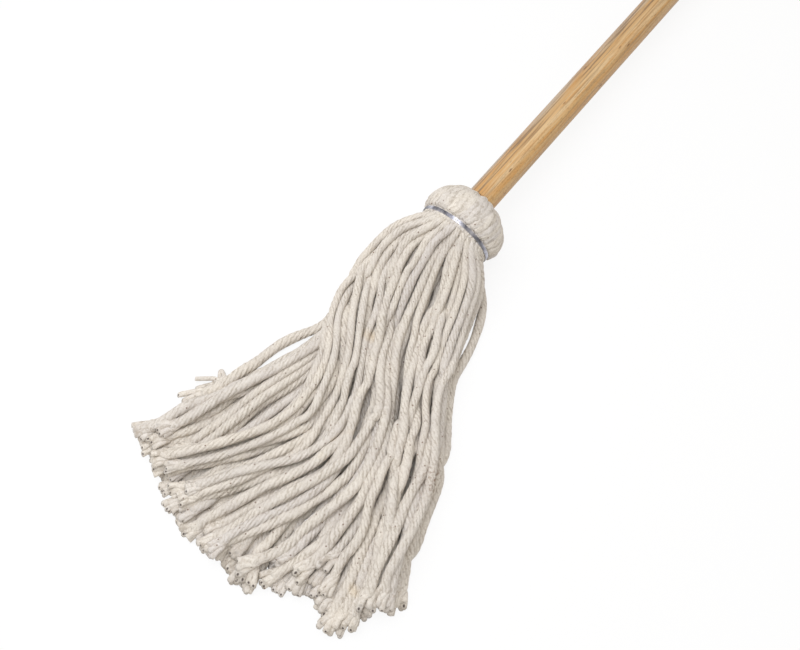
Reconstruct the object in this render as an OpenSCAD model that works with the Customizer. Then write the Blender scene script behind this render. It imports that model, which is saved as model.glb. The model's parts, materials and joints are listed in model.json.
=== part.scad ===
// Cotton deck mop lying on a floor: a wooden handle with a head of cut-end yarn wired on.
// The origin is on the floor under the widest part of the yarn collar.
// +X runs towards the grip end of the handle, the tails fan out towards -X, and +Z is up.

/* [Handle] */
// Diameter of the wooden handle
handle_d = 25.4; // [22:0.1:30]
// Length of the handle from its lower end to the tip of its dome
handle_len = 1219; // [900:1:1600]
// Height of the rounded dome on the grip end
dome_h = 9; // [5:0.5:12]
// Depth of the step that is turned down where the yarn seats
seat_step = 0.8; // [0.5:0.1:2]

/* [Collar] */
// Diameter of the folded yarn collar at its widest
collar_d = 74; // [71:0.5:82]
// Length of the collar from the middle of the outer wire to the handle's shoulder
collar_len = 40; // [34:1:50]
// Distance of the collar's widest place from the middle of the outer wire
collar_wide_at = 10; // [7:0.5:14]
// Depth of the flat that the collar's own weight presses on its underside
flat_depth = 1; // [0.5:0.1:2]
// Diameter of the yarn under the outer wire
neck_d = 66; // [60:0.5:69]
// Length of the yarn neck from the middle of the outer wire to where the tails part
neck_len = 8; // [6:0.5:12]
// Diameter of the inner yarn that is bound straight on the handle
sleeve_d = 42.8; // [38:0.2:48]
// Distance of the sleeve's top from the middle of the outer wire
sleeve_top = 30; // [26:0.5:32]

/* [Binding] */
// Diameter of the outer binding wire
outer_wire_d = 0.95; // [0.6:0.05:1.3]
// Turns of the outer binding wire
outer_turns = 4; // [3:1:5]
// Diameter of the inner binding wire
inner_wire_d = 1.2; // [0.8:0.1:1.4]
// Turns of the inner binding wire
inner_turns = 4; // [3:1:5]
// Distance of the middle of the inner wire from the middle of the outer wire
inner_wire_at = 12; // [9:0.5:16]
// Depth that each wire end is tucked into the yarn
tuck_depth = 6; // [4:0.5:8]
// Diameter of the anchor nail's shank
nail_d = 1.8; // [1.4:0.1:2.4]
// Length of the anchor nail under its head
nail_len = 17; // [14:0.5:19]
// Diameter of the anchor nail's head
nail_head_d = 4.4; // [3.6:0.1:5.4]
// Thickness of the anchor nail's head
nail_head_t = 0.9; // [0.6:0.1:1.2]
// Distance of the nail from the middle of the outer wire
nail_at = 23; // [21:0.5:25]

/* [Tails] */
// Reach of the tails from the middle of the outer wire
tail_reach = 315; // [240:1:360]
// Angle of the fan's left edge from the handle's line
fan_left = 19; // [12:1:26]
// Angle of the fan's right edge from the handle's line
fan_right = 31; // [22:1:36]
// Length over which the round bundle sinks down into a flat pile
sink_len = 85; // [60:1:120]
// Height of the pile where the tails leave the neck, as if it were already flat
pile_root = 52; // [44:1:60]
// Height of the pile at the tips
pile_tip = 20; // [16:0.5:28]
// Thickness of the top layer
top_t = 9; // [7:0.5:12]
// Number of locks in the top layer
top_locks = 8; // [6:1:10]
// Number of locks in the core layer
core_locks = 5; // [4:1:7]
// Number of locks in the under layer, half of them on each side
under_locks = 6; // [4:2:8]

/* [Clearances] */
// Clearance between the handle's seat, the inner yarn and the collar
yarn_fit = 0.2; // [0.1:0.05:0.4]
// Clearance of a wire or nail in its hole or groove
wire_fit = 0.15; // [0.05:0.05:0.3]
// Gap between locks that lie side by side
side_gap = 0.9; // [0.5:0.1:1.2]
// Gap between top locks, which are lifted past each other
top_gap = 2; // [1.6:0.1:2.6]
// Gap between layers of locks, and under the lowest one
layer_gap = 0.8; // [0.4:0.1:0.9]
// Gap between the neck and the tails
root_gap = 0.3; // [0.2:0.05:0.5]

/* [Hidden] */
$fn = 64;
WOOD = [0.83, 0.64, 0.39];
COTTON = [0.87, 0.84, 0.78];
ZINC = [0.72, 0.73, 0.76];

handle_r = handle_d / 2;
seat_r = handle_r - seat_step;
collar_r = collar_d / 2;
neck_r = neck_d / 2;
sleeve_r = sleeve_d / 2;
dome_r = (handle_r * handle_r + dome_h * dome_h) / (2 * dome_h);
tip_at = handle_len - neck_len;
shoulder_at = collar_len + yarn_fit;

// The mop lies on its collar and on the rim of the handle's dome, so the handle slopes a little.
axis_h = collar_r - flat_depth;
lie_span = tip_at - dome_h - collar_wide_at;
lie_tilt = asin(axis_h / norm([lie_span, handle_r])) - atan(handle_r / lie_span);

// Places a piece that is drawn along +Z, with the middle of the outer wire at its zero, on the handle's axis.
module on_axis() {
    translate([0, 0, axis_h])
        rotate([0, lie_tilt, 0])
            translate([-collar_wide_at, 0, 0])
                rotate([0, 90, 0])
                    children();
}

function mix(a, b, t) = a + (b - a) * t;
function clamp01(t) = min(1, max(0, t));
function smooth(t) = let (c = clamp01(t)) c * c * (3 - 2 * c);
function unit(v) = v / norm(v);
function sign_power(v, p) = sign(v) * pow(abs(v), p);

// Skins a list of rings, each with the same number of points, into one closed solid.
module loft(rings) {
    m = len(rings[0]);
    last = len(rings) - 1;
    points = [for (ring = rings) each ring];
    sides = [for (k = [0:last - 1], j = [0:m - 1])
        let (a = k * m + j, b = k * m + (j + 1) % m)
        each [[a, a + m, b], [b, a + m, b + m]]];
    ends = [[for (j = [0:m - 1]) j], [for (j = [m - 1:-1:0]) last * m + j]];
    polyhedron(points, concat(sides, ends), convexity = 6);
}

// Rings of a round wire along a list of points.
function wire_rings(path, r, sides, across) =
    let (n = len(path),
        ahead = [for (i = [0:n - 1]) unit(path[min(i + 1, n - 1)] - path[max(i - 1, 0)])],
        normals = [for (i = 0, v = across; i < n; i = i + 1, v = i < n ? unit(v - (v * ahead[i]) * ahead[i]) : v) v])
    [for (i = [0:n - 1])
        let (side = cross(ahead[i], normals[i]))
        [for (j = [0:sides - 1])
            let (t = 360 * j / sides)
            path[i] + r * (cos(t) * normals[i] + sin(t) * side)]];

// The handle: a straight dowel with a domed grip end and a turned-down seat for the yarn.
module handle() {
    color(WOOD) on_axis() difference() {
        union() {
            translate([0, 0, -neck_len]) cylinder(r = seat_r, h = neck_len + shoulder_at);
            intersection() {
                translate([0, 0, shoulder_at]) cylinder(r = handle_r, h = tip_at - shoulder_at);
                union() {
                    translate([0, 0, shoulder_at]) cylinder(r = handle_d, h = tip_at - dome_h - shoulder_at);
                    translate([0, 0, tip_at - dome_r]) sphere(r = dome_r);
                }
            }
        }
        nail_hole();
    }
}

// The hole that the anchor nail is driven into, from the sleeve's surface to its point.
nail_head_r = sleeve_r - nail_head_t - wire_fit;
module nail_hole() {
    translate([0, 0, nail_at]) rotate([0, 90, 0])
        translate([0, 0, nail_head_r - nail_len - wire_fit]) cylinder(d = nail_d + 2 * wire_fit, h = nail_len + 2 * sleeve_r);
}

// The anchor nail: driven through the bound yarn into the handle, so that the head can't pull off.
module anchor_nail() {
    point_len = nail_d;
    color(ZINC) on_axis() translate([0, 0, nail_at]) rotate([0, 90, 0]) {
        translate([0, 0, nail_head_r]) cylinder(d = nail_head_d, h = nail_head_t);
        translate([0, 0, nail_head_r - nail_len + point_len]) cylinder(d = nail_d, h = nail_len - point_len);
        translate([0, 0, nail_head_r - nail_len]) cylinder(d1 = nail_d / 4, d2 = nail_d, h = point_len);
    }
}

// A wire groove or hole needs the wire's own path: turns on a circle, with both ends bent in and tucked.
bend_steps = 4;
turn_steps = 36;
function turns_len(turns, d) = (turns + 1) * (d + wire_fit);
function tuck_bend(d) = 2 * d;
function wound_path(r, d, turns, tuck) =
    let (bend = tuck_bend(d), pitch = d + wire_fit, low = -turns * pitch / 2, skip = atan(bend / r),
        sweep = 360 * turns - 2 * skip,
        into = [for (k = [0:bend_steps]) let (t = 90 * k / bend_steps) [r - bend + bend * sin(t), bend - bend * cos(t), low]],
        around = [for (k = [1:turn_steps * turns - 1])
            let (f = k / (turn_steps * turns), t = skip + sweep * f)
            [r * cos(t), r * sin(t), low + turns * pitch * f]],
        out = [for (k = [len(into) - 1:-1:0]) [into[k].x, -into[k].y, -low]])
    concat([[r - tuck, 0, low]], into, around, out, [[r - tuck, 0, -low]]);

// The two holes that a wound wire's ends are tucked into, wider at the mouth for the bend.
module tuck_holes(r, d, turns, tuck) {
    for (end = [-1, 1])
        translate([0, 0, end * turns * (d + wire_fit) / 2]) rotate([0, 90, 0]) {
            translate([0, 0, r - tuck - wire_fit]) cylinder(d = d + 2 * wire_fit, h = tuck + d);
            translate([0, 0, r - tuck_bend(d) - d / 2 - wire_fit]) cylinder(r = tuck_bend(d) + d, h = 2 * tuck_bend(d));
        }
}

// The inner yarn: the half of every strand that is bound straight on the handle's seat.
inner_groove_r = sleeve_r - inner_wire_d - 2 * wire_fit;
inner_wire_r = sleeve_r - wire_fit - inner_wire_d / 2;
module yarn_sleeve() {
    color(COTTON) on_axis() difference() {
        translate([0, 0, -neck_len]) cylinder(r = sleeve_r, h = neck_len + sleeve_top);
        translate([0, 0, -neck_len - 1]) cylinder(r = seat_r + yarn_fit, h = neck_len + sleeve_top + 2);
        translate([0, 0, inner_wire_at]) {
            difference() {
                width = turns_len(inner_turns, inner_wire_d);
                translate([0, 0, -width / 2]) cylinder(r = sleeve_r + 1, h = width);
                translate([0, 0, -width / 2 - 1]) cylinder(r = inner_groove_r, h = width + 2);
            }
            tuck_holes(inner_wire_r, inner_wire_d, inner_turns, tuck_depth);
        }
        nail_hole();
        translate([0, 0, nail_at]) rotate([0, 90, 0])
            translate([0, 0, nail_head_r - wire_fit]) cylinder(d = nail_head_d + 2 * wire_fit, h = sleeve_r);
    }
}

// The inner binding wire: wound tight round the inner yarn and sunk in it.
module inner_wire() {
    inner_sides = 8;
    path = wound_path(inner_wire_r, inner_wire_d, inner_turns, tuck_depth);
    color(ZINC) on_axis() translate([0, 0, inner_wire_at])
        loft(wire_rings(path, inner_wire_d / 2, inner_sides, [0, 0, 1]));
}

// The collar: the other half of every strand, folded down over the inner wire.
arc_steps = 12;
wire_half = turns_len(outer_turns, outer_wire_d) / 2;
module yarn_collar() {
    bore_r = sleeve_r + yarn_fit;
    top_r = seat_r + yarn_fit;
    close_t = acos(top_r / collar_r);
    rise = (collar_len - collar_wide_at) / sin(close_t);
    below = [for (k = [0:arc_steps - 1])
        let (t = 90 * (1 - k / arc_steps))
        [neck_r + (collar_r - neck_r) * cos(t), collar_wide_at - (collar_wide_at - wire_half) * sin(t)]];
    above = [for (k = [0:arc_steps])
        let (t = close_t * k / arc_steps)
        [collar_r * cos(t), collar_wide_at + rise * sin(t)]];
    inside = [[top_r, sleeve_top + yarn_fit], [bore_r, sleeve_top + yarn_fit], [bore_r, -neck_len]];
    color(COTTON) difference() {
        on_axis() difference() {
            rotate_extrude() polygon(concat([[neck_r, -neck_len]], below, above, inside));
            tuck_holes(outer_wire_r, outer_wire_d, outer_turns, tuck_depth);
        }
        translate([-collar_len, -collar_d, -collar_d]) cube([2 * collar_len, 2 * collar_d, collar_d]);
    }
}

// The outer binding wire: wound over the folded yarn, which it draws in to the neck.
outer_wire_r = neck_r + wire_fit + outer_wire_d / 2;
module outer_wire() {
    outer_sides = 10;
    path = wound_path(outer_wire_r, outer_wire_d, outer_turns, tuck_depth);
    color(ZINC) on_axis() loft(wire_rings(path, outer_wire_d / 2, outer_sides, [0, 0, 1]));
}

// The tails start in the plane of the neck's end. A place in them is a run away from that plane, along -X,
// a sideways y, and a height z. The pile is cut into three layers, one on the other, and each layer into locks.
root_x = -(collar_wide_at + neck_len) * cos(lie_tilt) - root_gap;
root_z = axis_h + (collar_wide_at + neck_len) * sin(lie_tilt);
root_half = 0.94 * neck_r;
run_max = tail_reach * cos(fan_left) - neck_len;
left_tip_y = tail_reach * sin(fan_left);
right_tip_y = tail_reach * sin(fan_right);
left_hold = 90;

// Sideways edges of the lower layers. The right edge swells out at once. The left one holds, then opens.
// All start straight, for half the width of an under lock's root, and then bend outwards softly.
root_straight = root_half / under_locks;
root_soft = 12;
right_run = tail_reach * cos(fan_right) - neck_len;
right_swell = 0.45;
function opened(run) = let (past = max(0, run - root_straight)) past * past / (past + root_soft);
function swelling(q) = q * (1 + right_swell * (1 - q));
function low_right_edge(run) = -mix(root_half, right_tip_y, swelling(clamp01(opened(run) / right_run)));
function low_left_edge(run) = mix(root_half, left_tip_y, pow(clamp01((run - left_hold) / (run_max - left_hold)), 1.2));

// Sideways edges of the top layer. The left one swells, sways back to the right and then turns out to the left.
top_half = 0.76 * neck_r;
top_right_y = 0.93 * right_tip_y;
top_left_y = 0.78 * left_tip_y;
top_swell = 17;
top_swell_len = 125;
top_sway = 24;
top_sway_at = 180;
top_turn_at = 200;
function top_right_edge(run) = -mix(top_half, top_right_y, clamp01(opened(run) / right_run));
function top_left_edge(run) = top_half + top_swell * sin(180 * clamp01(opened(run) / top_swell_len))
    - top_sway * pow(sin(180 * clamp01(run / top_sway_at - 0.5)), 2)
    + (top_left_y - top_half) * pow(clamp01((run - top_turn_at) / (run_max - top_turn_at)), 1.5);

// Sideways place of a share of a layer's width, 0 at the right edge and 1 at the left one.
function side_y(layer, share, run) = layer == "top" ? mix(top_right_edge(run), top_left_edge(run), share)
    : mix(low_right_edge(run), low_left_edge(run), share);

// Heights of the pile over a place on the floor.
function sink(run) = smooth(run / sink_len);
function across(y, run) = let (l = max(low_left_edge(run), top_left_edge(run)), r = low_right_edge(run))
    clamp01(abs(2 * y - l - r) / (l - r) * root_half / neck_r);
function half_round(y, run) = neck_r * sqrt(1 - pow(across(y, run), 2));
function pile(run) = pile_tip + (pile_root - pile_tip) * pow(1 - clamp01(run / tail_reach), 1.3);
function crown(y, run) = mix(0.65, 1, sqrt(1 - pow(across(y, run), 2)));
function under_z(y, run) = mix(root_z - half_round(y, run), 0, sink(run));
function core_z(y, run) = mix(root_z - half_round(y, run) / 3, 0.3 * pile(run), sink(run));
function roof_z(y, run) = mix(root_z + half_round(y, run), pile(run) * crown(y, run), sink(run));
function top_z(y, run) = roof_z(y, run) - min(top_t, (roof_z(y, run) - core_z(y, run)) / 2);

function floor_of(layer, y, run) = layer == "under" ? under_z(y, run) + layer_gap / 2
    : (layer == "core" ? core_z(y, run) : top_z(y, run)) + layer_gap / 2;
function roof_of(layer, y, run) = layer == "top" ? roof_z(y, run)
    : (layer == "core" ? top_z(y, run) : core_z(y, run)) - layer_gap / 2;

// How far a share of the fan reaches, so that the tips lie on a circle round the middle of the outer wire.
function run_end(layer, share) =
    let (left = layer == "top" ? asin(top_left_y / tail_reach) : fan_left,
        right = layer == "top" ? asin(top_right_y / tail_reach) : fan_right)
    tail_reach * cos(mix(-right, left, share)) - neck_len;

// One lock: a bundle of tails between two shares of the fan, round at its root and softly square along its length.
start_steps = 3;
run_steps = 12;
lock_sides = 12;
tip_round = 6;
function gap_of(layer) = layer == "top" ? top_gap : side_gap;
function lock_stations(layer, first, second) =
    let (w = side_y(layer, second, 0) - side_y(layer, first, 0) - gap_of(layer),
        end = run_end(layer, (first + second) / 2))
    concat(
        [for (k = [1:start_steps]) let (t = 90 * k / start_steps) [w / 2 * (1 - cos(t)), sin(t)]],
        [for (k = [1:run_steps]) [mix(w / 2, end - tip_round, pow(k / run_steps, 1.4)), 1]],
        [[end, 0.6]]);
function lock_ring(layer, first, second, station) =
    let (run = station[0], fill = station[1], a = side_y(layer, first, run) + gap_of(layer) / 2,
        b = side_y(layer, second, run) - gap_of(layer) / 2, lean = tan(lie_tilt) * (1 - sink(run)))
    [for (j = [lock_sides - 1:-1:0])
        let (t = 360 * (j + 0.5) / lock_sides,
            y = (a + b) / 2 + fill * (b - a) / 2 * sign_power(cos(t), 0.5),
            low = floor_of(layer, y, run), high = roof_of(layer, y, run),
            z = (low + high) / 2 + (fill + 1) / 2 * (high - low) / 2 * sign_power(sin(t), 0.5))
        [root_x - run + lean * (z - root_z), y, z]];
module lock(layer, count, i) {
    color(COTTON)
        loft([for (s = lock_stations(layer, i / count, (i + 1) / count)) lock_ring(layer, i / count, (i + 1) / count, s)]);
}

handle();
yarn_sleeve();
inner_wire();
anchor_nail();
yarn_collar();
outer_wire();
for (i = [1:core_locks]) lock("core", core_locks, i - 1);
for (i = [1:top_locks]) lock("top", top_locks, i - 1);
for (i = [1:under_locks]) lock("under", under_locks, i - 1);
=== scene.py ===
import bpy
import json
import math
import numpy as np
from mathutils import Matrix, Vector


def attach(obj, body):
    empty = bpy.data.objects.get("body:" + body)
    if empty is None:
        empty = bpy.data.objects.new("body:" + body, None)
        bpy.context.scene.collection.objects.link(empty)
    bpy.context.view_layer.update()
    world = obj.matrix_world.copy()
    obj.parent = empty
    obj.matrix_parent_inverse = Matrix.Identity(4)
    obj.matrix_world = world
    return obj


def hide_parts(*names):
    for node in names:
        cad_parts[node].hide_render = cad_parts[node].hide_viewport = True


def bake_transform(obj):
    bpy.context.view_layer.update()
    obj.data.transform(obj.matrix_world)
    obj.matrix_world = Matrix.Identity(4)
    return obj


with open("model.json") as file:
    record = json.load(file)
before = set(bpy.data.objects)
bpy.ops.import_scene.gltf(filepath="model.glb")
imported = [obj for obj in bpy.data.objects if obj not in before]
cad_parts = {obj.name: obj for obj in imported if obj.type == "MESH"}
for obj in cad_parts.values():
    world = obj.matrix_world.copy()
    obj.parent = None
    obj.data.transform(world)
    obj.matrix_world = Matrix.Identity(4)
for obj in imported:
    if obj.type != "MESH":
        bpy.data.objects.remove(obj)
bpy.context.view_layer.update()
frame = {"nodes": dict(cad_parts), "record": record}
bpy.ops.object.select_all(action="DESELECT")
bpy.context.scene.view_settings.view_transform = "Standard"

# Handle: a straight dowel of varnished pine, rounded to a low dome at the grip end and turned down a
# little at its lower end, where the yarn is bound on. Its place and slope come from the grip that the
# frame states.
grip = next(mount for mount in frame["record"]["mounts"] if mount["name"] == "handle_grip")
handle_axis = Vector(grip["axis"])
handle_radius = grip["dims"]["r_mm"] / 1000
bare_length = grip["dims"]["length_mm"] / 1000
shoulder = Vector(grip["pos_m"]) - handle_axis * bare_length / 2
handle_sides = 96
dome_height = 0.009
dome_rings = 8
seat_step = 0.0008
seat_length = 0.0482
end_facing = 0.5
sharp_edge = math.radians(35)


def pick_faces(piece, wanted):
    """Goes into edit mode with only the faces selected for which wanted(face) is true."""
    bpy.ops.object.mode_set(mode="EDIT")
    bpy.ops.mesh.select_mode(type="FACE")
    bpy.ops.mesh.select_all(action="DESELECT")
    bpy.ops.object.mode_set(mode="OBJECT")
    for face in piece.data.polygons:
        face.select = wanted(face)
    bpy.ops.object.mode_set(mode="EDIT")


def put_on_handle(piece, start):
    """Lays a piece drawn along +Z on the sloping handle, with its zero that far from the shoulder."""
    lay = Vector((0, 0, 1)).rotation_difference(handle_axis).to_matrix().to_4x4()
    piece.data.transform(Matrix.Translation(shoulder + handle_axis * start) @ lay)


def colour(red, green, blue):
    """A colour as it looks on screen, each part from 0 to 255, as the linear light that shaders use."""
    screen = np.array([red, green, blue]) / 255
    linear = np.where(screen < 0.04045, screen / 12.92, ((screen + 0.055) / 1.055) ** 2.4)
    return (*linear, 1.0)


def shader(tree, kind, settings=None, **sockets):
    """Adds a shader node. Each socket takes a value or another node's output, and _0 is the socket of
    that number."""
    made = tree.nodes.new("ShaderNode" + kind)
    for name, value in (settings or {}).items():
        setattr(made, name, value)
    for name, value in sockets.items():
        socket = made.inputs[int(name[1:]) if name[0] == "_" else name.replace("_", " ")]
        if isinstance(value, bpy.types.NodeSocket):
            tree.links.new(value, socket)
        else:
            socket.default_value = value
    return made


def ramp(tree, factor, *stops):
    """A colour, or a grey where a stop is one number, for each place along a factor."""
    made = shader(tree, "ValToRGB", Fac=factor)
    while len(made.color_ramp.elements) < len(stops):
        made.color_ramp.elements.new(1.0)
    for element, (place, shade) in zip(made.color_ramp.elements, stops):
        element.position = place
        element.color = shade if isinstance(shade, tuple) else (shade, shade, shade, 1.0)
    return made.outputs["Color"]


def mixed(tree, factor, first, second):
    """The first colour where the factor is 0, the second where it is 1, and a blend between."""
    made = shader(tree, "Mix", {"data_type": "RGBA"}, _0=factor, _6=first, _7=second)
    return made.outputs[2]


def worked_out(tree, operation, first, second):
    """The result of one operation of the Math node on two values."""
    return shader(tree, "Math", {"operation": operation}, _0=first, _1=second).outputs[0]


def noise(tree, place, stretch, **sockets):
    """Cloudy values from 0 to 1, finer along an axis where its stretch is larger."""
    drawn_out = shader(tree, "Mapping", Vector=place, Scale=stretch).outputs[0]
    return shader(tree, "TexNoise", Vector=drawn_out, Scale=1.0, **sockets).outputs["Fac"]


def new_material(name, roughness):
    """A plain material, with its node tree and its surface node."""
    made = bpy.data.materials.new(name)
    made.use_nodes = True
    surface = made.node_tree.nodes["Principled BSDF"]
    surface.inputs["Roughness"].default_value = roughness
    return made, made.node_tree, surface


def varnished_pine():
    """Colour bands along the dowel, set by the side they face: the wood's own bands, with painted light
    on the greyish left edge and the paler middle stripe and painted shade on the darker right edge; thin
    brown lines between them, and short dark flecks.
    """
    made, tree, surface = new_material("varnished pine", 0.5)
    level = (0, math.atan2(handle_axis.z, handle_axis.x), 0)
    sloping = shader(tree, "TexCoord").outputs["Object"]
    place = shader(tree, "Mapping", Vector=sloping, Rotation=level).outputs[0]
    across = shader(tree, "SeparateXYZ", Vector=place).outputs["Y"]
    waver = worked_out(tree, "MULTIPLY", noise(tree, place, (8, 120, 120), Detail=3.0), 0.24)
    turned = worked_out(tree, "MULTIPLY", across, -0.5 / handle_radius)
    share = worked_out(tree, "ADD", worked_out(tree, "ADD", turned, waver), 0.25)
    # Across the dowel: the wood's own bands, plus painted light on the greyish left edge and the paler
    # middle stripe, and painted shade towards the darker right edge.
    bands_and_painted_light = ramp(tree, share,
                 (0.00, colour(184, 164, 140)), (0.13, colour(192, 166, 132)),
                 (0.22, colour(196, 160, 112)), (0.32, colour(198, 160, 110)),
                 (0.42, colour(212, 180, 134)), (0.58, colour(214, 184, 140)),
                 (0.68, colour(200, 162, 108)), (0.84, colour(198, 164, 116)),
                 (1.00, colour(182, 150, 108)))
    warm = noise(tree, place, (20, 420, 420), Detail=3.0)
    toned = mixed(tree, ramp(tree, warm, (0.46, 0.0), (0.62, 0.8)), bands_and_painted_light, colour(196, 146, 84))
    grain = noise(tree, place, (15, 640, 640), Detail=4.0, Roughness=0.6)
    streaks = worked_out(tree, "MULTIPLY", ramp(tree, grain, (0.50, 0.0), (0.60, 0.9)),
                         ramp(tree, share, (0.26, 1.0), (0.46, 0.5)))
    lined = mixed(tree, streaks, toned, colour(132, 104, 76))
    speckle = noise(tree, place, (420, 1300, 1300), Detail=2.0)
    pores = worked_out(tree, "MULTIPLY", ramp(tree, speckle, (0.54, 0.0), (0.68, 0.5)),
                       ramp(tree, share, (0.40, 0.2), (0.70, 1.0)))
    pored = mixed(tree, pores, lined, colour(128, 96, 60))
    drawn_out = shader(tree, "Mapping", Vector=place, Scale=(60, 260, 260)).outputs[0]
    fleck = shader(tree, "TexVoronoi", Vector=drawn_out, Scale=1.0)
    rare = worked_out(tree, "GREATER_THAN", fleck.outputs["Color"], 0.7)
    small = ramp(tree, fleck.outputs["Distance"], (0.10, 0.8), (0.2, 0.0))
    dash = worked_out(tree, "MULTIPLY", rare, small)
    tree.links.new(mixed(tree, dash, pored, colour(104, 70, 42)), surface.inputs["Base Color"])
    bump = shader(tree, "Bump", Strength=0.15, Distance=0.0004, Height=grain)
    tree.links.new(bump.outputs[0], surface.inputs["Normal"])
    surface.inputs["Coat Weight"].default_value = 0.12
    surface.inputs["Coat Roughness"].default_value = 0.25
    return made


bpy.ops.mesh.primitive_cylinder_add(vertices=handle_sides, radius=handle_radius, depth=bare_length,
                                    location=(0, 0, bare_length / 2))
handle = bpy.context.object
handle.name = "pine_handle"
bpy.ops.object.transform_apply(location=True)
pick_faces(handle, lambda face: face.normal.z > end_facing)
dome_radius = (handle_radius ** 2 + dome_height ** 2) / (2 * dome_height)
dome_turn = math.asin(handle_radius / dome_radius)
for ring in range(1, dome_rings):
    before, now = (dome_turn * (1 - step / dome_rings) for step in (ring - 1, ring))
    rise = dome_radius * (math.cos(now) - math.cos(before))
    narrow = math.sin(now) / math.sin(before)
    bpy.ops.mesh.extrude_region_move(TRANSFORM_OT_translate={"value": (0, 0, rise)})
    bpy.ops.transform.resize(value=(narrow, narrow, 1), center_override=(0, 0, bare_length))
pick_faces(handle, lambda face: face.normal.z < -end_facing)
bpy.ops.mesh.inset(thickness=seat_step)
bpy.ops.mesh.extrude_region_move(TRANSFORM_OT_translate={"value": (0, 0, -seat_length)})
bpy.ops.object.mode_set(mode="OBJECT")
put_on_handle(handle, 0)
bpy.ops.object.shade_smooth_by_angle(angle=sharp_edge)
handle.data.materials.append(varnished_pine())
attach(handle, "head")
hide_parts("handle")

# Bound yarn, inner wire and nail: half of every strand lies straight on the handle's seat, held by a
# wire and a nail. The collar covers all of it, so these keep their plain solids.
ply_count = 6
soiled_spot = (-0.172, -0.114, 0.02)


def spun_cotton():
    """Undyed cotton: each strand has its own tone, with painted shade in the grooves between its plies,
    dark seed specks, painted shade in the middle of some cut ends, and one brown soiled spot at the
    right edge of the tails."""
    made, tree, surface = new_material("spun cotton", 0.95)
    place = shader(tree, "TexCoord").outputs["Object"]
    wound = shader(tree, "TexCoord").outputs["UV"]
    tone = shader(tree, "Attribute", {"attribute_name": "tone"}).outputs["Fac"]
    core = shader(tree, "Attribute", {"attribute_name": "cut_core"}).outputs["Fac"]
    strand = ramp(tree, tone, (0.0, colour(219, 214, 210)), (0.4, colour(225, 219, 210)),
                  (1.0, colour(229, 222, 211)))
    cloud = noise(tree, place, (60, 60, 60), Detail=3.0)
    clouded = mixed(tree, ramp(tree, cloud, (0.4, 0.0), (0.7, 0.5)), strand, colour(206, 200, 196))
    fibre = noise(tree, wound, (60, 11, 1), Detail=4.0, Roughness=0.75)
    combed = mixed(tree, ramp(tree, fibre, (0.34, 0.6), (0.54, 0.0)), clouded, colour(190, 178, 162))
    around = shader(tree, "SeparateXYZ", Vector=wound).outputs["X"]
    waver = worked_out(tree, "MULTIPLY", noise(tree, place, (330, 330, 330), Detail=2.0), 1.4)
    plies = worked_out(tree, "ADD", worked_out(tree, "MULTIPLY", around, ply_count), waver)
    off_groove = worked_out(tree, "PINGPONG", worked_out(tree, "SUBTRACT", plies, 0.7), 0.5)
    # Painted shade: the grooves between the plies are darkened in the colour, as shade would fall in
    # them.
    shaded = worked_out(tree, "MULTIPLY", ramp(tree, off_groove, (0.0, 0.85), (0.30, 0.0)),
                        ramp(tree, noise(tree, place, (110, 110, 110), Detail=2.0),
                             (0.4, 0.1), (0.62, 0.7)))
    mottle = noise(tree, place, (700, 700, 700), Detail=3.0)
    mottled = mixed(tree, ramp(tree, mottle, (0.36, 0.35), (0.52, 0.0)), combed, colour(182, 172, 158))
    painted_groove_shade = mixed(tree, shaded, mottled, colour(150, 137, 120))
    stain = noise(tree, place, (23, 23, 23), Detail=2.0)
    stained = mixed(tree, ramp(tree, stain, (0.70, 0.0), (0.78, 0.35)), painted_groove_shade, colour(216, 186, 130))
    speck = shader(tree, "TexVoronoi", Vector=place, Scale=170.0)
    rare = worked_out(tree, "GREATER_THAN", speck.outputs["Color"], 0.38)
    small = ramp(tree, speck.outputs["Distance"], (0.07, 0.85), (0.13, 0.0))
    dot = worked_out(tree, "MULTIPLY", rare, small)
    seeded = mixed(tree, dot, stained, colour(104, 72, 54))
    from_soil = shader(tree, "VectorMath", {"operation": "DISTANCE"}, _0=place, _1=soiled_spot)
    grime = worked_out(tree, "MULTIPLY",
                       ramp(tree, from_soil.outputs["Value"], (0.003, 0.95), (0.017, 0.0)),
                       ramp(tree, noise(tree, place, (380, 380, 380), Detail=3.0),
                            (0.50, 0.08), (0.64, 1.0)))
    soiled = mixed(tree, grime, seeded, colour(122, 88, 58))
    # Painted shade: the middle of some cut ends is darkened, as shade would fall between their fibres.
    cut = mixed(tree, ramp(tree, core, (0.56, 0.0), (0.72, 0.9)), soiled, colour(66, 54, 52))
    tree.links.new(cut, surface.inputs["Base Color"])
    fuzz = noise(tree, place, (1100, 1100, 1100), Detail=2.0)
    combing = shader(tree, "Bump", Strength=0.6, Distance=0.0006, Height=fibre)
    bump = shader(tree, "Bump", Strength=0.35, Distance=0.0005, Height=fuzz, Normal=combing.outputs[0])
    tree.links.new(bump.outputs[0], surface.inputs["Normal"])
    surface.inputs["Specular IOR Level"].default_value = 0.15
    surface.inputs["Sheen Weight"].default_value = 0.08
    surface.inputs["Sheen Roughness"].default_value = 0.5
    return made


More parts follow.
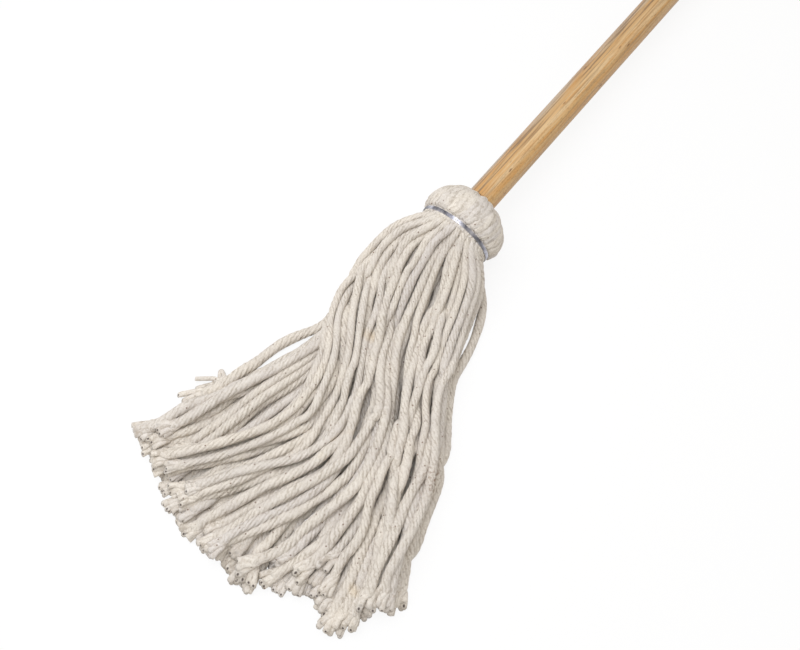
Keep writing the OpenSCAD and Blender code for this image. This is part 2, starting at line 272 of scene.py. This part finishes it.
def galvanised_wire():
    """Bright galvanised metal with grey patches: partly its own patchiness, partly painted reflection
    and highlight, darker and brighter as the wire would mirror dark or bright surroundings.
    """
    made, tree, surface = new_material("galvanised wire", 0.3)
    place = shader(tree, "TexCoord").outputs["Object"]
    zinc_and_reflection_patch = noise(tree, place, (90, 90, 90), Detail=2.0)
    # Painted reflection and highlight: the dark and bright patches of the base colour stand in for dark
    # and bright surroundings mirrored in the wire, over the metal's own patchiness.
    zinc_and_reflection = ramp(tree, zinc_and_reflection_patch, (0.40, colour(122, 122, 130)), (0.5, colour(180, 180, 190)),
                (0.60, colour(228, 228, 236)))
    tree.links.new(zinc_and_reflection, surface.inputs["Base Color"])
    tree.links.new(ramp(tree, zinc_and_reflection_patch, (0.3, 0.5), (0.7, 0.2)), surface.inputs["Roughness"])
    surface.inputs["Metallic"].default_value = 1.0
    return made


def dress(node, material):
    """Gives a material to a node that keeps its own solid."""
    for slot in frame["nodes"][node].material_slots:
        slot.link = "OBJECT"
        slot.material = material


cotton = spun_cotton()
wire = galvanised_wire()
dress("yarn_sleeve", cotton)
dress("inner_wire", wire)
dress("anchor_nail", wire)

# Collar: the other half of every strand, folded back over the bound half as a bun of packed strands
# that covers the handle's end. They lie a little aslant, and dive under each other where the bun
# closes on the handle.
collar_length = 0.037
collar_radius = 0.037
collar_widest = 0.010
neck_radius = 0.0322
neck_aside = -0.003
aside_from, aside_over = 0.016, 0.021
wire_band = 0.0055
wire_tilt = math.tan(math.radians(7))
tilt_from, tilt_over = 0.006, 0.028
profile_points = 10
tucked_under = 0.004
seat_gap = 0.0002
folded_strands = 50
folded_radius = 0.0058
folded_lean = math.radians(-24)
folded_play = 0.2
sway, sway_rate = 0.03, 160
dive_levels = 4
dive_step, dive_play = 0.0012, 0.0006
closing_from, closing_over = 0.003, 0.018
closed_thinner = 0.3
wire_press, press_over = 0.45, 0.011
strand_sunk, sunk_play = 0.95, 0.0004
collar_seed = 3
phases = (0, 6)
ring_step = 0.002
ply_points = 5
ply_lead = 0.033
ply_groove = 0.10
drawn_lead = 0.085
drawn_groove = 0.035
slub, slub_rates = 0.06, (80, 220)
worn_mean, worn_swing, worn_rates = 0.9, 0.6, (40, 90)
fuzziness = 0.2
squareness = 2.2
steepest = 0.9
first_side = (0.3, 0.9, 0.2)
end_bulge = 0.0003
floor_gap = 0.0002
tone_shift = 9


def smooth(share):
    """Eases from 0 to 1, level at both ends."""
    share = np.clip(share, 0, 1)
    return share * share * (3 - 2 * share)


def rounded(knots, place):
    """Values of a curve that runs smoothly through knots, at places counted in knots."""
    ends = np.concatenate([[2 * knots[0] - knots[1]], knots, [2 * knots[-1] - knots[-2]]])
    k = np.clip(place.astype(int), 0, len(knots) - 2)
    t = (place - k).reshape(-1, *[1] * (knots.ndim - 1))
    before, start, end, after = ends[k], ends[k + 1], ends[k + 2], ends[k + 3]
    bend = 2 * before - 5 * start + 4 * end - after
    turn = 3 * start - before - 3 * end + after
    return 0.5 * (2 * start + (end - before) * t + bend * t ** 2 + turn * t ** 3)


def distance_along(line):
    """How far along a line each of its points is."""
    return np.concatenate([[0], np.cumsum(np.linalg.norm(np.diff(line, axis=0), axis=1))])


def even_line(points, step):
    """The same line through points a step apart, with how far along the old points each one is, from
    0 to 1."""
    length = np.linalg.norm(np.diff(points, axis=0), axis=1).sum()
    place = np.linspace(0, len(points) - 1, max(4, int(length / step)))
    return rounded(points, place), place / (len(points) - 1)


class Yarn:
    """The mesh of strands that lie together."""

    def __init__(self):
        self.points, self.faces, self.windings, self.tones, self.cores = [], [], [], [], []
        self.total = 0

    def tube(self, line, reach, turn, spread, tone, cut=0.0, core=0.0):
        """A closed tube along a line. Reach is each ring's radii, turn how far each ring is turned, and
        spread the stretch of the winding that goes round it. Cut slopes its end face, and core darkens
        its middle with painted shade."""
        rings, sides = reach.shape
        ahead = np.gradient(line, axis=0)
        ahead /= np.linalg.norm(ahead, axis=1)[:, None]
        side = np.empty_like(line)
        normal = np.cross(ahead[0], first_side)
        for k, way in enumerate(ahead):
            normal = normal - way * (normal @ way)
            normal /= np.linalg.norm(normal)
            side[k] = normal
        up = np.cross(ahead, side)
        angle = turn[:, None] + 2 * math.pi * np.arange(sides) / sides
        out = np.cos(angle)[..., None] * side[:, None] + np.sin(angle)[..., None] * up[:, None]
        upright = np.abs(out[..., 2]) / np.sqrt(1 - np.minimum(ahead[:, 2] ** 2, steepest))[:, None]
        level = np.sqrt(np.clip(1 - upright ** 2, 0, 1))
        squared = (upright ** squareness + level ** squareness) ** (-1 / squareness)
        out *= (reach * squared)[..., None]
        out[-1] -= cut * out[-1][:, 2:] * ahead[-1]
        grid = (line[:, None] + out).reshape(-1, 3)
        grid = np.concatenate([grid, line[-1:] + end_bulge * ahead[-1], line[:1]])
        grid[:, 2] = np.maximum(grid[:, 2], floor_gap)
        k, j = (index.ravel() for index in np.indices((rings - 1, sides)))
        after = (j + 1) % sides
        quads = np.stack([k * sides + j, k * sides + after,
                          (k + 1) * sides + after, (k + 1) * sides + j], 1)
        along = distance_along(line) / ply_lead + tone * tone_shift
        around = spread[0] + (spread[1] - spread[0]) * np.stack([j, j + 1, j + 1, j], 1) / sides
        wound = np.stack([around, along[np.stack([k, k, k + 1, k + 1], 1)]], 2)
        self.faces.extend((quads + self.total).tolist())
        self.windings.append(wound.reshape(-1, 2))
        first = np.arange(sides)
        following = (first + 1) % sides
        last_ring = (rings - 1) * sides
        for fan in (np.stack([last_ring + first, last_ring + following,
                              np.full(sides, rings * sides)], 1),
                    np.stack([following, first, np.full(sides, rings * sides + 1)], 1)):
            self.faces.extend((fan + self.total).tolist())
            self.windings.append(np.full((3 * sides, 2), (np.mean(spread), along[-1])))
        # Painted shade for the middle of the end face, where core is set.
        dark = np.zeros(len(grid))
        dark[rings * sides] = core
        self.points.append(grid)
        self.tones.append(np.full(len(grid), tone))
        self.cores.append(dark)
        self.total += len(grid)

    def strand(self, line, radii, tone, chance, lead, depth):
        """A strand of plies that twist round it once in each lead, a little uneven all along."""
        sides = ply_count * ply_points
        across_ply = 2 * math.pi * np.arange(ply_points) / ply_points
        groove = np.tile((0.5 + 0.5 * np.cos(across_ply)) ** 2, ply_count)
        along = distance_along(line)
        thick = 1 + slub * np.sin(along * chance.uniform(*slub_rates) + chance.uniform(*phases))
        wave = np.sin(along * chance.uniform(*worn_rates) + chance.uniform(*phases))
        worn = worn_mean + worn_swing * wave
        rough = 1 + chance.normal(0, fuzziness * depth, (len(line), sides))
        reach = (radii * thick)[:, None] * (1 - depth * worn[:, None] * groove) * rough
        turn = chance.uniform(0, 2 * math.pi) - 2 * math.pi * along / lead
        self.tube(line, reach, turn, (0, 1), tone)

    def piece(self, name):
        """All strands so far as one piece of cotton."""
        mesh = bpy.data.meshes.new(name)
        mesh.from_pydata(np.concatenate(self.points), [], self.faces)
        winding = mesh.uv_layers.new(name="winding")
        winding.data.foreach_set("uv", np.concatenate(self.windings).ravel())
        for label, values in (("tone", self.tones), ("cut_core", self.cores)):
            marked = mesh.attributes.new(label, "FLOAT", "POINT")
            marked.data.foreach_set("value", np.concatenate(values))
        mesh.materials.append(cotton)
        mesh.shade_smooth()
        made = bpy.data.objects.new(name, mesh)
        bpy.context.scene.collection.objects.link(made)
        return made


def collar_profile(count):
    """Points of the bun's outside from the wire to the handle, each as its distance from the outer
    wire's middle and its radius."""
    close = math.acos(handle_radius / collar_radius)
    rise = (collar_length - collar_widest) / math.sin(close)
    swell = np.linspace(math.pi / 2, 0, count // 2)
    dome = np.linspace(0, close, count)[1:]
    below = np.stack([collar_widest - (collar_widest - wire_band / 2) * np.sin(swell),
                      neck_radius + (collar_radius - neck_radius) * np.cos(swell)], 1)
    above = np.stack([collar_widest + rise * np.sin(dome), collar_radius * np.cos(dome)], 1)
    return np.concatenate([[(-tucked_under, neck_radius), (0, neck_radius)], below, above])


side_way = Vector((0, 1, 0))
axis_ways = np.array([handle_axis, side_way, handle_axis.cross(side_way)])
neck_middle = np.array(shoulder - handle_axis * (collar_length + seat_gap))
chance = np.random.default_rng(collar_seed)
outside = collar_profile(profile_points)
slope = np.gradient(outside, axis=0)
inward = np.stack([slope[:, 1], -slope[:, 0]], 1) / np.linalg.norm(slope, axis=1)[:, None]
closing = smooth((collar_radius - outside[:, 1] - closing_from) / closing_over)
closing = closing * (outside[:, 0] > collar_widest)
fullness = 1 - wire_press + wire_press * smooth(outside[:, 0] / press_over)
collar_yarn = Yarn()
for strand in range(folded_strands):
    dive = dive_step * (strand % dive_levels) + chance.uniform(0, dive_play)
    thick = folded_radius * (1 - closed_thinner * closing) * fullness
    depth = thick * strand_sunk + dive * closing + chance.uniform(0, sunk_play)
    x, radius = (outside + inward * depth[:, None]).T
    place = strand + chance.uniform(-folded_play, folded_play)
    lean = 2 * math.pi * place / folded_strands + folded_lean * x / collar_length
    lean += sway * np.sin(x * sway_rate + chance.uniform(*phases))
    aside = neck_aside * (1 - smooth((x - aside_from) / aside_over))
    x = x - wire_tilt * radius * np.cos(lean) * (1 - smooth((x - tilt_from) / tilt_over))
    line = np.stack([x, radius * np.sin(lean) + aside, radius * np.cos(lean)], 1)
    line, share = even_line(line @ axis_ways + neck_middle, ring_step)
    collar_yarn.strand(line, rounded(thick, share * (len(thick) - 1)), chance.uniform(), chance,
                       drawn_lead, drawn_groove)
collar = collar_yarn.piece("folded_collar")
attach(collar, "head")
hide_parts("yarn_collar")

# Outer wire: four turns of bright zinc wire drawn tight round the neck, a little askew on it, with
# both ends tucked out of sight into the yarn.
wire_turns = 4
wire_radius = 0.00040
wire_pitch = 0.00081
wire_tuck = 0.005
wire_sides = 12
turn_steps = 96
bpy.ops.mesh.primitive_circle_add(vertices=wire_sides, radius=wire_radius,
                                  location=(neck_radius + wire_radius, 0, 0),
                                  rotation=(math.pi / 2, 0, 0))
outer_wire = bpy.context.object
outer_wire.name = "neck_wire"
bpy.ops.object.transform_apply(location=True, rotation=True)
wound = outer_wire.modifiers.new("wound", "SCREW")
wound.axis = "Z"
wound.iterations = wire_turns
wound.screw_offset = wire_pitch
wound.steps = turn_steps
bpy.ops.object.modifier_apply(modifier="wound")
bpy.ops.object.mode_set(mode="EDIT")
bpy.ops.mesh.select_mode(type="EDGE")
bpy.ops.mesh.select_all(action="DESELECT")
bpy.ops.mesh.select_non_manifold()
bpy.ops.mesh.extrude_region_move(TRANSFORM_OT_translate={"value": (-wire_tuck, 0, 0)})
bpy.ops.mesh.fill()
bpy.ops.mesh.select_all(action="SELECT")
bpy.ops.mesh.normals_make_consistent(inside=False)
bpy.ops.object.mode_set(mode="OBJECT")
outer_wire.data.transform(Matrix.Translation((0, 0, -wire_turns * wire_pitch / 2)))
outer_wire.data.transform(Matrix.Rotation(-math.atan(wire_tilt), 4, "Y"))
put_on_handle(outer_wire, -collar_length)
outer_wire.data.transform(Matrix.Translation((0, neck_aside, 0)))
bpy.ops.object.shade_smooth()
outer_wire.data.materials.append(wire)
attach(outer_wire, "head")
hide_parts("outer_wire")

# Tails: the ends of all strands below the wire. They leave it packed side by side, sink down on each
# other and on the floor, and end in cuts where the plies part. Each lock of tails is one piece.
tail_seed = 7
tail_radius = 0.0034
root_radius = 0.0032
tail_pressed = 0.0034
root_pressed = 0.0023
tail_swell = 0.045
tail_nodes = 81
tail_phases = (0, 6.3)
root_rings = ((0.0284, 38), (0.0245, 33), (0.0206, 27), (0.0167, 21))
root_play = 0.12
root_blend = 0.022
tilt_fade = 0.06
top_tails = 40
under_tails = 36
top_levels = (0.85, 1.0)
core_levels = (0.4, 0.7)
under_levels = (0.1, 0.25)
pile_tip, pile_rise = 0.02, 0.032
pile_length, pile_curve = 0.315, 1.3
sink_length = 0.09
wave_lengths = (0.09, 0.22)
wave_depths = (0.0006, 0.0032)
wave_from = 0.12
inner_rise = 6
drift, drift_from, drift_over = 0.011, 0.14, 0.14
tip_drift, tip_drift_from, tip_drift_over = 0.007, 0.23, 0.06
# Guides from the right edge to the left: their shares of a layer's width, and their sideways places at
# every line_step from the wire.
guide_start = 0.003
guide_length = 0.33
guide_points = 334
line_step = 0.05
top_shares = (0, 0.12, 0.25, 0.36, 0.48, 0.58, 0.74, 0.88, 1)
top_lines = np.array([
    (-0.046, -0.056, -0.073, -0.108, -0.124, -0.141, -0.154),
    (-0.034, -0.048, -0.067, -0.098, -0.114, -0.133, -0.147),
    (-0.014, -0.033, -0.053, -0.077, -0.101, -0.119, -0.130),
    (-0.002, -0.016, -0.034, -0.067, -0.087, -0.096, -0.097),
    (0.008, 0.002, -0.014, -0.048, -0.069, -0.058, -0.036),
    (0.015, 0.006, -0.011, -0.039, -0.047, -0.032, -0.019),
    (0.024, 0.034, 0.012, -0.019, -0.028, 0.000, 0.027),
    (0.030, 0.040, 0.029, 0.001, -0.003, 0.022, 0.064),
    (0.043, 0.039, 0.040, 0.013, 0.006, 0.036, 0.086)])
low_shares = (0, 0.25, 0.50, 0.77, 1)
low_lines = np.array([
    (-0.045, -0.053, -0.072, -0.107, -0.124, -0.141, -0.154),
    (-0.012, -0.032, -0.047, -0.064, -0.081, -0.093, -0.101),
    (0.010, 0.010, 0.006, 0.000, -0.002, 0.000, 0.004),
    (0.022, 0.024, 0.020, 0.020, 0.040, 0.060, 0.082),
    (0.032, 0.031, 0.027, 0.031, 0.050, 0.072, 0.099)])
stray_lines = np.array([
    (0.029, 0.030, 0.026, 0.030, 0.066, 0.110, 0.140),
    (0.032, 0.032, 0.030, 0.055, 0.061, 0.087, 0.110)])
stray_reaches = (0.231, 0.244)
loose_line = np.array([(-0.045, -0.067, -0.0775, -0.106, -0.122, -0.141, -0.154)] * 2)
# Slits between the tails: run from the wire, sideways place, half the length and half the width.
slits = [(0.048, -0.020, 0.012, 0.0040), (0.083, -0.045, 0.016, 0.0049), (0.122, -0.048, 0.050, 0.0055),
         (0.114, -0.073, 0.018, 0.0053), (0.083, 0.012, 0.016, 0.0044), (0.145, -0.018, 0.014, 0.0050),
         (0.151, -0.034, 0.014, 0.0048), (0.173, -0.098, 0.024, 0.0058), (0.187, -0.086, 0.016, 0.0048),
         (0.207, -0.100, 0.016, 0.0046), (0.210, -0.120, 0.014, 0.0044), (0.243, -0.119, 0.016, 0.0046),
         (0.253, -0.103, 0.012, 0.0044), (0.269, -0.084, 0.012, 0.0044), (0.275, -0.051, 0.018, 0.0046),
         (0.201, -0.041, 0.014, 0.0046), (0.180, -0.003, 0.014, 0.0044)]
deep_slits = len(slits)
small_slits = 16
slit_seed = 5
small_runs = (0.03, 0.28)
small_shares = (0.12, 0.60)
small_lengths = (0.010, 0.022)
small_widths = (0.0038, 0.0044)
flow_count = 101
# How far from the wire's middle the tips reach, by their sideways place.
reach_sides = (-0.153, -0.131, -0.127, -0.119, -0.110, -0.100, -0.086, -0.077, -0.062,
               -0.052, -0.022, -0.010, 0.012, 0.027, 0.043, 0.053, 0.069, 0.087)
reaches = (0.294, 0.291, 0.322, 0.317, 0.305, 0.300, 0.298, 0.313, 0.305,
           0.317, 0.315, 0.305, 0.312, 0.307, 0.302, 0.297, 0.293, 0.293)
reach_play = 0.011
# Settling: its rounds, and how far one round lets a tail sink, be pushed or be combed aside.
settle_rounds = 300
pair_rounds = 5
pair_reach = 0.0085
held_nodes = 3
sink_step, late_sink_step, late_from = 0.0003, 0.0001, 0.8
hold_to_way = 0.16
straighten = 0.25
push_most = 0.0012
comb_most = 0.0010
tiny = 1e-9
chance = np.random.default_rng(tail_seed)
roots = []
for ring_radius, ring_count in root_rings:
    first = chance.uniform(0, 2 * math.pi)
    for k in range(ring_count):
        turn = first + 2 * math.pi * (k + chance.uniform(-root_play, root_play)) / ring_count
        roots.append((ring_radius * math.cos(turn), ring_radius * math.sin(turn)))
roots = np.array(roots) + (neck_aside, 0)
tail_count = len(roots)
by_height = np.argsort(-roots[:, 1])
layers = {"top": (by_height[:top_tails], top_shares, top_lines, top_levels),
          "core": (by_height[top_tails:-under_tails], low_shares, low_lines, core_levels),
          "under": (by_height[-under_tails:], low_shares, low_lines, under_levels)}


def sideways(shares, lines, share, run):
    """Sideways place, at each run from the wire, of a strand at a share of its layer's width."""
    knots = np.array([np.interp(share, shares, column) for column in lines.T])
    return rounded(knots, run / line_step)


slit_chance = np.random.default_rng(slit_seed)
for _ in range(small_slits):
    slit_run = slit_chance.uniform(*small_runs)
    slit_share = slit_chance.uniform(*small_shares)
    slit_side = sideways(top_shares, top_lines, slit_share, np.array([slit_run]))[0]
    slit_length = slit_chance.uniform(*small_lengths)
    slits.append((slit_run, slit_side, slit_length, slit_chance.uniform(*small_widths)))
run = np.linspace(-guide_start, guide_length, guide_points)
flows = [sideways(top_shares, top_lines, share, run) for share in np.linspace(0, 1, flow_count)]
slit_ways = []
for slit_run, slit_side, _, _ in slits:
    beside = [np.interp(slit_run, run, flow) for flow in flows]
    slit_ways.append(flows[np.argmin(np.abs(np.array(beside) - slit_side))])
laid = np.empty((tail_count, tail_nodes, 3))
locks = {}
strays = []
combed = []
slit_sides = []
for layer, (members, shares, lines, levels) in layers.items():
    members = members[np.argsort(roots[members, 0])]
    lock_count = sum(name.startswith(layer + "_lock") for name in frame["nodes"])
    for rank, k in enumerate(members):
        locks.setdefault(f"{layer}_lock_{rank * lock_count // len(members) + 1}", []).append(k)
        share = np.clip((rank + 0.5 + chance.uniform(-0.5, 0.5)) / len(members), 0, 1)
        stray = rank - len(members) + len(stray_reaches) if layer == "under" else -1
        wanted = sideways(shares, lines, share, run)
        if stray >= 0:
            strays.append(k)
            wanted = sideways((0, 1), stray_lines, stray, run)
        if layer == "under" and rank == 0:
            wanted = sideways((0, 1), loose_line, 0, run)
        y = wanted + (roots[k, 0] - wanted[0]) * (1 - smooth(run / root_blend))
        wave = 2 * math.pi * run / chance.uniform(*wave_lengths) + chance.uniform(*tail_phases)
        y += chance.uniform(*wave_depths) * smooth(run / wave_from) * np.sin(wave)
        inner = min(1, inner_rise * share * (1 - share))
        if stray < 0:
            y += inner * chance.normal(0, drift) * smooth((run - drift_from) / drift_over)
        pile = pile_tip + pile_rise * np.clip(1 - run / pile_length, 0, 1) ** pile_curve
        sunk = smooth(run / sink_length)
        z = (neck_middle[2] + roots[k, 1]) * (1 - sunk) + pile * chance.uniform(*levels) * sunk
        askew = wire_tilt * roots[k, 1] * (1 - smooth(run / tilt_fade))
        x = neck_middle[0] - guide_start - run - askew
        y += inner * chance.normal(0, tip_drift) * smooth((run - tip_drift_from) / tip_drift_over)
        if layer != "under":
            combed.append(k)
            sides = np.sign([np.interp(slit[0], run, y) - slit[1] for slit in slits])
            if layer == "core":
                sides[deep_slits:] = 0
            slit_sides.append(sides)
        path = np.stack([x, y, np.maximum(z, tail_radius)], 1)
        reach = np.interp(y, reach_sides, reaches) - abs(chance.normal(0, reach_play))
        if stray >= 0:
            reach = stray_reaches[stray]
        path = path[np.hypot(run, y) < reach]
        arc = distance_along(path)
        even = np.linspace(0, arc[-1], tail_nodes)
        laid[k] = np.stack([np.interp(even, arc, path[:, axis]) for axis in range(3)], 1)
links = np.linalg.norm(np.diff(laid, axis=1), axis=2).mean(1)
swelling = smooth(links[:, None] * np.arange(tail_nodes) / tail_swell)
thickness = root_radius + (tail_radius - root_radius) * swelling
pressed_radius = (root_pressed + (tail_pressed - root_pressed) * swelling).reshape(-1)
owner = np.repeat(np.arange(tail_count), tail_nodes)


def close_pairs(points, reach):
    """Pairs of points of different strands that lie within reach of each other."""
    cells = np.floor((points - points.min(0)) / reach).astype(np.int64) + 1
    size = cells.max(0) + 2
    key = (cells[:, 0] * size[1] + cells[:, 1]) * size[2] + cells[:, 2]
    order = np.argsort(key, kind="stable")
    ordered = key[order]
    firsts, seconds = [], []
    around = (-1, 0, 1)
    steps = [(x * size[1] + y) * size[2] + z for x in around for y in around for z in around]
    for step in (step for step in steps if step >= 0):
        low = np.searchsorted(ordered, key + step, "left")
        number = np.searchsorted(ordered, key + step, "right") - low
        first = np.repeat(np.arange(len(key)), number)
        offset = np.arange(number.sum()) - np.repeat(np.cumsum(number) - number, number)
        second = order[offset + np.repeat(low, number)]
        keep = (owner[first] != owner[second]) & ((step > 0) | (first < second))
        firsts.append(first[keep])
        seconds.append(second[keep])
    first, second = np.concatenate(firsts), np.concatenate(seconds)
    keep = ((points[first] - points[second]) ** 2).sum(1) < reach ** 2
    return first[keep], second[keep]


def settle(place, rounds):
    """Lets the tails sink on the floor and on each other and combs the slits open, while the tails keep
    their length and roughly their way."""
    laid_way = place.copy()
    for turn in range(rounds):
        points = place.reshape(-1, 3)
        if turn % pair_rounds == 0:
            first, second = close_pairs(points, pair_reach)
        place[:, held_nodes:, 2] -= sink_step if turn < late_from * rounds else late_sink_step
        astray = laid_way[:, held_nodes:, :2] - place[:, held_nodes:, :2]
        place[:, held_nodes:, :2] += hold_to_way * astray
        gap = points[first] - points[second]
        apart = np.linalg.norm(gap, axis=1) + tiny
        pressed = np.clip(pressed_radius[first] + pressed_radius[second] - apart, 0, None)
        push = gap * (0.5 * pressed / apart)[:, None]
        touches = np.bincount(np.concatenate([first, second]), np.tile(pressed > 0, 2), len(points))
        move = np.stack([np.bincount(first, push[:, axis], len(points))
                         - np.bincount(second, push[:, axis], len(points)) for axis in range(3)], 1)
        move /= np.maximum(1, 0.5 * touches)[:, None]
        place = (points + np.clip(move, -push_most, push_most)).reshape(place.shape)
        place[:, 2:-2] += straighten * ((place[:, :-4] + place[:, 4:]) / 2 - place[:, 2:-2])
        out = neck_middle[0] - guide_start - place[combed, :, 0]
        for (slit_run, _, length, width), way, sides in zip(slits, slit_ways, np.array(slit_sides).T):
            wanted = width * np.sqrt(np.clip(1 - ((out - slit_run) / length) ** 2, 0, None))
            off = sides[:, None] * (place[combed, :, 1] - np.interp(out, run, way))
            parted = np.where(wanted > 0, np.clip(wanted - off, 0, comb_most), 0)
            place[combed, :, 1] += sides[:, None] * parted
        for parity in (0, 1):
            node = np.arange(parity, tail_nodes - 1, 2)
            span = place[:, node + 1] - place[:, node]
            reached = np.linalg.norm(span, axis=2, keepdims=True) + tiny
            mend = 0.5 * span * (1 - links[:, None, None] / reached)
            place[:, node] += mend
            place[:, node + 1] -= mend
        place[..., 2] = np.maximum(place[..., 2], pressed_radius.reshape(place.shape[:2]))
        place[:, :held_nodes] = laid_way[:, :held_nodes]
    return place


# Fingers of a cut end: their length, and their thickness before and at the cut as shares of the tail's.
brush_finger = (0.009, 0.58, 0.54)
parted_finger = (0.016, 0.52, 0.46)
brush_counts = (5, 8)
parted_count = 3
brush_leans = (0.10, 0.24)
parted_leans = (0.12, 0.28)
finger_sides = 12
finger_points = 10
finger_root = 0.012
finger_root_size = 0.40
finger_opens = 0.008
finger_spreads = (0.35, 0.55)
finger_play = 0.25
finger_length_play = 0.0012
finger_twist_end = 0.002
finger_taper = 0.0015
finger_flat = 0.6
finger_winding = 0.11
finger_winding_starts = (0, 0.9)
cut_slant = 0.35
cut_slopes = (0.4, 1.4)
# Share of cut ends whose middle gets painted shade.
shaded_cut_share = 0.5


def cut_end(yarn, line, radius, tone, chance, parted):
    """The end of a tail, where its plies spread like a brush and were cut across. A parted end is
    undone further."""
    fingers = parted_count if parted else chance.integers(*brush_counts)
    length, full, end = parted_finger if parted else brush_finger
    leans = parted_leans if parted else brush_leans
    way = (line[-1] - line[-4]) / np.linalg.norm(line[-1] - line[-4])
    side = np.cross(way, (0, 0, 1))
    side /= np.linalg.norm(side)
    up = np.cross(side, way)
    start = chance.uniform(*tail_phases)
    slant = chance.uniform(-cut_slant, cut_slant)
    for finger in range(fingers):
        angle = start + 2 * math.pi * (finger + chance.uniform(-finger_play, finger_play)) / fingers
        lean = chance.uniform(*leans)
        tip = length + chance.uniform(-finger_length_play, finger_length_play)
        ahead = np.linspace(-finger_root, tip, finger_points)
        opened = radius * chance.uniform(*finger_spreads) + lean * np.clip(ahead + finger_opens, 0, None)
        twist = angle - 2 * math.pi * np.clip(ahead, None, finger_twist_end) / ply_lead
        aside = opened * np.cos(twist)
        path = line[-1] + way * (ahead + slant * aside * smooth(ahead / length))[:, None]
        path = path + aside[:, None] * side + (finger_flat * opened * np.sin(twist))[:, None] * up
        thick = radius * np.interp(ahead, (-finger_root, 0.0, length - finger_taper, length),
                                   (finger_root_size, full, full, end))
        path[:, 2] = np.maximum(path[:, 2], thick)
        first = chance.uniform(*finger_winding_starts)
        yarn.tube(path, np.repeat(thick[:, None], finger_sides, 1), np.zeros(finger_points),
                  (first, first + finger_winding), tone,
                  cut=chance.uniform(*cut_slopes), core=float(chance.uniform() < shaded_cut_share))


loop_half = 0.0021
loop_height = 0.0085
loop_radius = 0.0016
loop_back = 8
loop_points = 13
loop_sides = 12
loop_winding = (0.2, 0.4)


def small_loop(yarn, line, tone):
    """A hairpin loop of thin yarn that stands out sideways from a tail, near its end."""
    bow = np.linspace(0, math.pi, loop_points)[:, None]
    way = line[2 - loop_back] - line[-2 - loop_back]
    way = way / np.linalg.norm(way)
    side = np.cross(way, (0, 0, 1))
    path = line[-loop_back] + loop_half * np.cos(bow) * way + loop_height * np.sin(bow) * side
    yarn.tube(path, np.full((loop_points, loop_sides), loop_radius), np.zeros(loop_points),
              loop_winding, tone)


# A tail grows fuller along its way and once more at its end.
radius_play = (0.86, 1.14)
fuller, fuller_from, fuller_over = 0.14, 0.4, 0.4
end_fuller, end_from, end_over = 0.08, 0.94, 0.06
end_rings = 4
tails = settle(laid, settle_rounds)
for lock, members in locks.items():
    yarn = Yarn()
    for k in members:
        line, share = even_line(tails[k], ring_step)
        radii = rounded(thickness[k], share * (tail_nodes - 1)) * chance.uniform(*radius_play)
        radii *= (1 + fuller * smooth((share - fuller_from) / fuller_over)
                  + end_fuller * smooth((share - end_from) / end_over))
        tone = chance.uniform()
        yarn.strand(line[:-end_rings], radii[:-end_rings], tone, chance, ply_lead, ply_groove)
        cut_end(yarn, line[:-end_rings], radii[-1], tone, chance, k in strays)
        if k == strays[0]:
            small_loop(yarn, line, tone)
    tress = yarn.piece(lock.replace("lock", "tress"))
    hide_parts(lock)
    if lock.startswith("core"):
        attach(tress, "head")
    else:
        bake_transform(tress)

# Floor: a plain white ground on which the mop lies. It looks white by itself and keeps a pale shadow of
# the mop.
floor_size = 8
floor_shadow = 0.12


def white_ground():
    """White of its own to the camera, with a share of the light and shadow that falls on it."""
    made, tree, surface = new_material("white ground", 0.9)
    seen = shader(tree, "LightPath")
    direct = worked_out(tree, "MAXIMUM", seen.outputs["Is Camera Ray"], seen.outputs["Is Glossy Ray"])
    glow = shader(tree, "Emission", Color=(1, 1, 1, 1), Strength=1.0)
    both = shader(tree, "MixShader", _0=worked_out(tree, "MULTIPLY", direct, 1 - floor_shadow),
                  _1=surface.outputs[0], _2=glow.outputs[0])
    surface.inputs["Base Color"].default_value = (0.9, 0.9, 0.9, 1)
    tree.links.new(both.outputs[0], tree.nodes["Material Output"].inputs["Surface"])
    return made


bpy.ops.mesh.primitive_plane_add(size=floor_size)
floor = bpy.context.object
floor.name = "floor"
floor.data.materials.append(white_ground())

# Light: an even surround that is a little warm, and one large soft lamp, a little cool, high on the
# left of the picture.
world = bpy.data.worlds.new("studio")
bpy.context.scene.world = world
world.use_nodes = True
surround = world.node_tree.nodes["Background"]
surround.inputs["Color"].default_value = (1, 0.95, 0.88, 1)
surround.inputs["Strength"].default_value = 0.60
lamp = bpy.data.objects.new("key_lamp", bpy.data.lights.new("key_lamp", "AREA"))
bpy.context.scene.collection.objects.link(lamp)
lamp.location = (-0.20, 0.20, 0.93)
lamp.data.size = 0.85
lamp.data.energy = 7.7
lamp.data.color = (0.97, 1, 1.06)
lamp_aim = Vector((-0.12, 0, 0))
lamp.rotation_euler = (lamp_aim - lamp.location).to_track_quat("-Z", "Y").to_euler()

# Camera: above the tails, looking steeply down along the handle.
camera = bpy.data.objects.new("camera", bpy.data.cameras.new("camera"))
bpy.context.scene.collection.objects.link(camera)
look_down = 70.3
look_heading = 39.5
camera.location = (-0.2534, -0.1479, 0.6048)
camera.rotation_euler = (math.radians(90 - look_down), 0, math.radians(look_heading - 90))
camera.data.lens = 34.56
camera.data.clip_start = 0.01
bpy.context.scene.camera = camera
